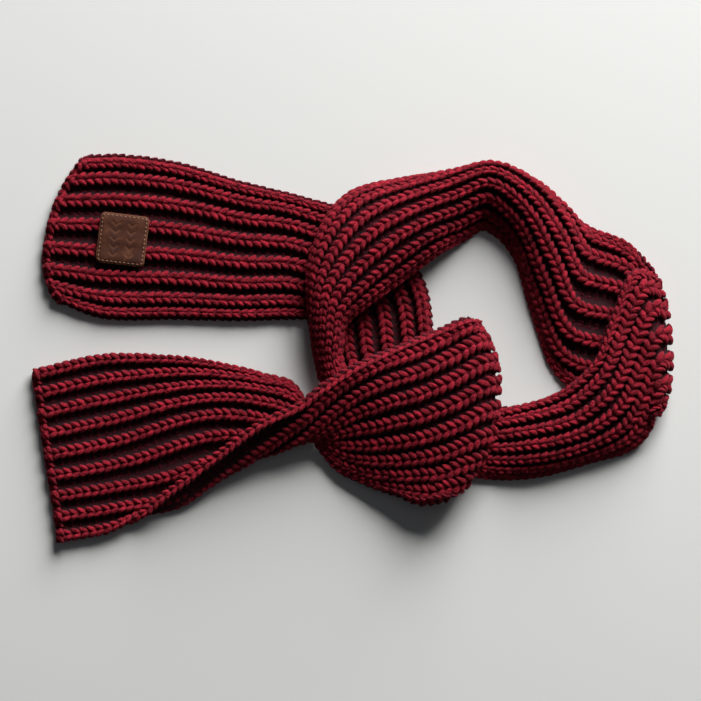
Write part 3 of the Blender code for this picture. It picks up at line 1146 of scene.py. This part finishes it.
@dataclass
class LeatherPatch:
    """The sewn leather square: rounded, draped on the ribs, with pressed chevrons."""

    strip: Strip
    shift: np.ndarray
    half: tuple = (17.5, 18.25)
    corner: float = 3.5
    thick: float = 1.6
    seam_inset: float = 1.7
    seam_width: float = 0.55
    seam_depth: float = 0.3
    seam_pitch: float = 3.0
    chevron_rows: tuple = (-5.6, 5.8)
    chevron_pitch: float = 5.6
    chevron_half: tuple = (3.4, 12.6)
    chevron_depth: float = 0.25
    stroke: float = 0.62
    sag: float = 0.75
    ripple: float = 0.16
    rim: float = 0.45
    stitch_half: float = 1.15
    thread_half: float = 0.42

    def build(self, draw: np.random.Generator) -> list[bpy.types.Object]:
        """Builds the leather and its sewing thread.

        Args:
            draw: where the small differences between stitches come from.

        Returns:
            The two pieces.
        """
        leather, thread = self.build_leather(), self.build_thread(draw)
        ride([leather, thread])
        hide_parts("patch")
        return [leather, thread]

    def rounded(self, x: float, y: float) -> tuple[float, float]:
        """Pulls a point of the square in, so that the square gets its round corners.

        Args:
            x: the point's place across the patch, in millimetres from its middle.
            y: its place up the patch.

        Returns:
            The point's new place.
        """
        level = max(abs(x) / self.half[0], abs(y) / self.half[1], 1e-6)
        beyond = [abs(part) - (size - self.corner) * level
                  for part, size in zip((x, y), self.half)]
        if min(beyond) <= 0:
            return x, y
        pull = max(beyond) / math.hypot(*beyond)
        centre = [abs(part) - over for part, over in zip((x, y), beyond)]
        return tuple(math.copysign(middle + over * pull, part)
                     for middle, over, part in zip(centre, beyond, (x, y)))

    def to_edge(self, x: float, y: float) -> float:
        """Measures how far a point lies inside the rounded outline.

        Args:
            x: the point's place across the patch, in millimetres from its middle.
            y: its place up the patch.

        Returns:
            The distance in millimetres, below 0 outside the outline.
        """
        over = [abs(part) - size + self.corner for part, size in zip((x, y), self.half)]
        outside = math.hypot(max(over[0], 0.0), max(over[1], 0.0))
        return self.corner - outside - min(max(over), 0.0)

    def marked(self, x: float, y: float) -> float:
        """Finds the strokes of the pressed chevrons.

        Args:
            x: a point's place across the patch, in millimetres from its middle.
            y: its place up the patch.

        Returns:
            1 in a stroke and 0 outside, with a soft edge between.
        """
        nearest = 9.0
        for row in self.chevron_rows:
            along = (y + 0.5 * self.chevron_pitch) % self.chevron_pitch
            rise = along - 0.5 * self.chevron_pitch
            if abs(x - row) < self.chevron_half[0] and abs(y) < self.chevron_half[1]:
                nearest = min(nearest, abs(abs(x - row) * 0.8 - (rise + 1.4)) * 0.78)
        return min(max((self.stroke + 0.3 - nearest) / 0.5, 0.0), 1.0)

    def placed(self, x: float, y: float, lift: float) -> Vector:
        """Places a point of the patch on the scarf.

        Args:
            x: the point's place across the patch, in millimetres from its middle.
            y: its place up the patch.
            lift: how far it lies above the underside, in millimetres.

        Returns:
            The point in metres.
        """
        turn = Matrix.Rotation(PATCH_TURN, 3, "Z")
        spot = turn @ Vector((x, y, 0.0)) + Vector((*PATCH_CENTRE, 0.0)) + Vector(self.shift)
        sag = self.sag * math.exp(-max(self.to_edge(x, y), 0.0) / 1.8)
        ripple = self.ripple * math.cos(math.tau * y / RIB_PITCH)
        spot.z = self.base + ripple - sag + lift
        return spot * MM

    def build_leather(self) -> bpy.types.Object:
        """Makes the leather: a fine sheet, rounded, pressed and bevelled.

        Returns:
            The leather, which carries how far it is rubbed as "rubbed".
        """
        middle = self.strip.points(np.array([1.3]), np.array([0.5]))[0]
        self.base = float(middle[2]) + 4.0
        shape = thin_sheet(60, 62, "rubbed", self.skins)
        rims = [edge for edge in shape.edges if edge.is_manifold
                and edge.calc_face_angle(0.0) > math.radians(60)]
        bmesh.ops.bevel(shape, geom=rims, offset=self.rim * MM, offset_type="OFFSET",
                        segments=2, profile=0.5, affect="EDGES", material=-1)
        bmesh.ops.recalc_face_normals(shape, faces=shape.faces)
        return add_piece("patch_leather", shape, BareLeather().material())

    def skins(self, across: np.ndarray, up: np.ndarray) -> tuple[list, ...]:
        """Works out both faces of the leather, with its seam and chevrons pressed in.

        Args:
            across: shares of the patch's width.
            up: shares of its height.

        Returns:
            The points of the front and back in metres, and how far each is rubbed.
        """
        tops, unders, rubbed = [], [], []
        for x, y in zip((2 * across - 1) * self.half[0], (2 * up - 1) * self.half[1]):
            x, y = self.rounded(x, y)
            inset, mark = self.to_edge(x, y), self.marked(x, y)
            seam = math.exp(-((inset - self.seam_inset) / self.seam_width) ** 2)
            pressed = self.chevron_depth * mark + self.seam_depth * seam
            tops.append(self.placed(x, y, self.thick - pressed))
            unders.append(self.placed(x, y, 0.0))
            rubbed.append(min(0.5 * mark + 0.9 * math.exp(-inset / 0.6), 1.0))
        return tops, unders, rubbed, rubbed

    def build_thread(self, draw: np.random.Generator) -> bpy.types.Object:
        """Sews the stitches round the patch.

        Args:
            draw: where the small differences between stitches come from.

        Returns:
            The stitches, joined into one mesh.
        """
        shape = bmesh.new()
        shape.loops.layers.uv.new("yarn")
        bmesh.ops.create_uvsphere(shape, u_segments=8, v_segments=6, radius=1.0, calc_uvs=True)
        pattern = Pattern.of(shape)
        places = []
        for (x, y), (way_x, way_y) in self.seam_path():
            lean = draw.normal(0.0, 0.08)
            long, thick = self.stitch_half * draw.uniform(0.92, 1.05), self.thread_half
            copies = []
            for point in pattern.points:
                onward, aside = point[2] * long, point[0] * thick + lean * point[2]
                copies.append(self.placed(x + way_x * onward - way_y * aside,
                                          y + way_y * onward + way_x * aside,
                                          self.thick - 0.28 + point[1] * thick
                                          + 0.25 * (1 - point[2] ** 2)))
            places.append(copies)
        places = np.array(places)
        made = repeat("patch_thread", pattern, places, np.zeros((len(places), 2)), {})
        made.data.materials.append(SewingThread().material())
        return made

    def seam_path(self) -> list[tuple]:
        """Walks round the patch along its seam.

        Returns:
            The middle and direction of each stitch.
        """
        a, b = (size - self.seam_inset for size in self.half)
        bend = self.corner - self.seam_inset
        wide, tall = 2 * (a - bend), 2 * (b - bend)
        sides = [((a, -b + bend), (0, 1), tall), ((a - bend, b), (-1, 0), wide),
                 ((-a, b - bend), (0, -1), tall), ((-a + bend, -b), (1, 0), wide)]
        path = []
        for (x, y), (way_x, way_y), long in sides:
            count = round(long / self.seam_pitch)
            for step in range(count):
                gone = (step + 0.5) * long / count
                path.append(((x + way_x * gone, y + way_y * gone), (way_x, way_y)))
            corner = math.sqrt(0.5)
            turn_x, turn_y = way_x - way_y, way_y + way_x
            path.append(((x + way_x * long + bend * (way_x * corner - way_y * (1 - corner)),
                          y + way_y * long + bend * (way_y * corner + way_x * (1 - corner))),
                         (turn_x * corner, turn_y * corner)))
        return path


@dataclass
class Scarf:
    """The whole scarf: its stretches, hidden layers and patch."""

    seed: int = 41

    def build(self) -> None:
        """Builds every piece and reports it."""
        draw = np.random.default_rng(self.seed)
        patch_low, patch_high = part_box("patch")
        middle = (patch_low + patch_high) / 2 / MM
        shift = np.array([middle.x - PATCH_CENTRE[0], middle.y - PATCH_CENTRE[1], 0.0])
        wool = Wool(VStitch(), Fuzz(), WoolYarn().material(), WoolGround().material())
        made = [HiddenLayers(wool.ground).build(shift)]
        made += LeatherPatch(Strip(FIRST_RUN, shift), shift).build(draw)
        for stretch in self.stretches(wool, shift):
            made += stretch.build(draw)
        for piece in made:
            report(piece)

    def stretches(self, wool: Wool, shift: np.ndarray) -> list[Stretch]:
        """Returns the stretches of both runs.

        Args:
            wool: what they are knitted from.
            shift: how far the frame lies from the tables, in millimetres.

        Returns:
            The stretches, in the order of the tables.
        """
        lays = {"end_patched": (Lay.LAID, ("floor",), wool, (1.15, 1.2)),
                "window_stretch": (Lay.LAID, ("floor",), wool, (1.2, 1.3)),
                "ring_lower": (Lay.DRAPED, ("floor", "loop_over"), wool,
                               (1.18, 1.15, 1.25, 1.7, 2.5)),
                "loop_over": (Lay.DRAPED, ("floor", "end_patched"), wool,
                              (2.5, 1.3, 1.15, 1.15, 1.2, 1.3, 1.3)),
                "fan_and_plain_end": (Lay.FOLDED, ("floor", "hidden_layers"), wool,
                                      (2.4, 2.1, 1.5, 1.3, 1.2, 1.02, 1.0))}
        found = []
        for run in (FIRST_RUN, SECOND_RUN):
            strip, first = Strip(run, shift), 0
            for node, table in run.items():
                last = min(first + len(table), strip.count - 1)
                bound = {"end_patched": ((first, -1.0),),
                         "fan_and_plain_end": ((last, 1.0),)}.get(node, ())
                found.append(Stretch(node, strip, first, last, *lays[node], bound))
                first += len(table)
        return found


def report(piece: bpy.types.Object) -> None:
    """Logs a finished piece with its size."""
    LOG.info("%s: %d faces, %.0f x %.0f x %.0f mm", piece.name, len(piece.data.polygons),
             *(side / MM for side in piece.dimensions))


@dataclass
class Studio:
    """The floor, the soft lights and the camera straight above."""

    view_width: float = 0.505
    camera_height: float = 2.6
    aim: tuple = (-0.0020, -0.0012)
    floor_size: float = 6.0
    floor_drop: float = 0.0002
    sky: tuple = (0.8, 0.86, 1, 1)
    sky_strength: float = 0.035

    def build(self) -> None:
        """Builds the studio round the scarf."""
        self.build_floor()
        self.build_lights()
        self.build_camera()

    def build_floor(self) -> None:
        """Lays the floor under the scarf."""
        shape = bmesh.new()
        bmesh.ops.create_grid(shape, x_segments=2, y_segments=2, size=self.floor_size / 2)
        floor = add_piece("floor", shape, PaleFloor().material(), smooth=False)
        floor.location.z = -self.floor_drop

    def build_lights(self) -> None:
        """Hangs a large low light beyond the scarf and a weak fill above it."""
        self.add_area("window_light", (1.10, 2.60, 1.22), 1.9, 284.0)
        self.add_area("sky_light", (0.2, 0.3, 2.2), 2.2, 1.5)
        world = bpy.data.worlds.new("studio")
        world.use_nodes = True
        background = world.node_tree.nodes["Background"]
        background.inputs["Color"].default_value = self.sky
        background.inputs["Strength"].default_value = self.sky_strength
        bpy.context.scene.world = world
        bpy.context.scene.view_settings.view_transform = "Standard"

    def add_area(self, name: str, where: tuple, size: float, power: float) -> None:
        """Adds one square area light that faces the scarf.

        Args:
            name: the light's name.
            where: its place, in metres.
            size: the length of its side.
            power: its power in watts.
        """
        lamp = bpy.data.lights.new(name, "AREA")
        lamp.size, lamp.energy = size, power
        made = bpy.data.objects.new(name, lamp)
        made.location = where
        made.rotation_euler = (-Vector(where)).to_track_quat("-Z", "Y").to_euler()
        bpy.context.scene.collection.objects.link(made)

    def build_camera(self) -> None:
        """Looks straight down on the scarf from far away with a long lens."""
        camera = bpy.data.cameras.new("camera")
        camera.sensor_width = 36.0
        camera.lens = camera.sensor_width * self.camera_height / self.view_width
        made = bpy.data.objects.new("camera", camera)
        made.location = (*self.aim, self.camera_height)
        bpy.context.scene.collection.objects.link(made)
        bpy.context.scene.camera = made


def main() -> None:
    """Builds the studio and the scarf."""
    logging.basicConfig(level=logging.INFO, format="%(name)s: %(message)s")
    Studio().build()
    Scarf().build()


if __name__ == "__main__":
    main()
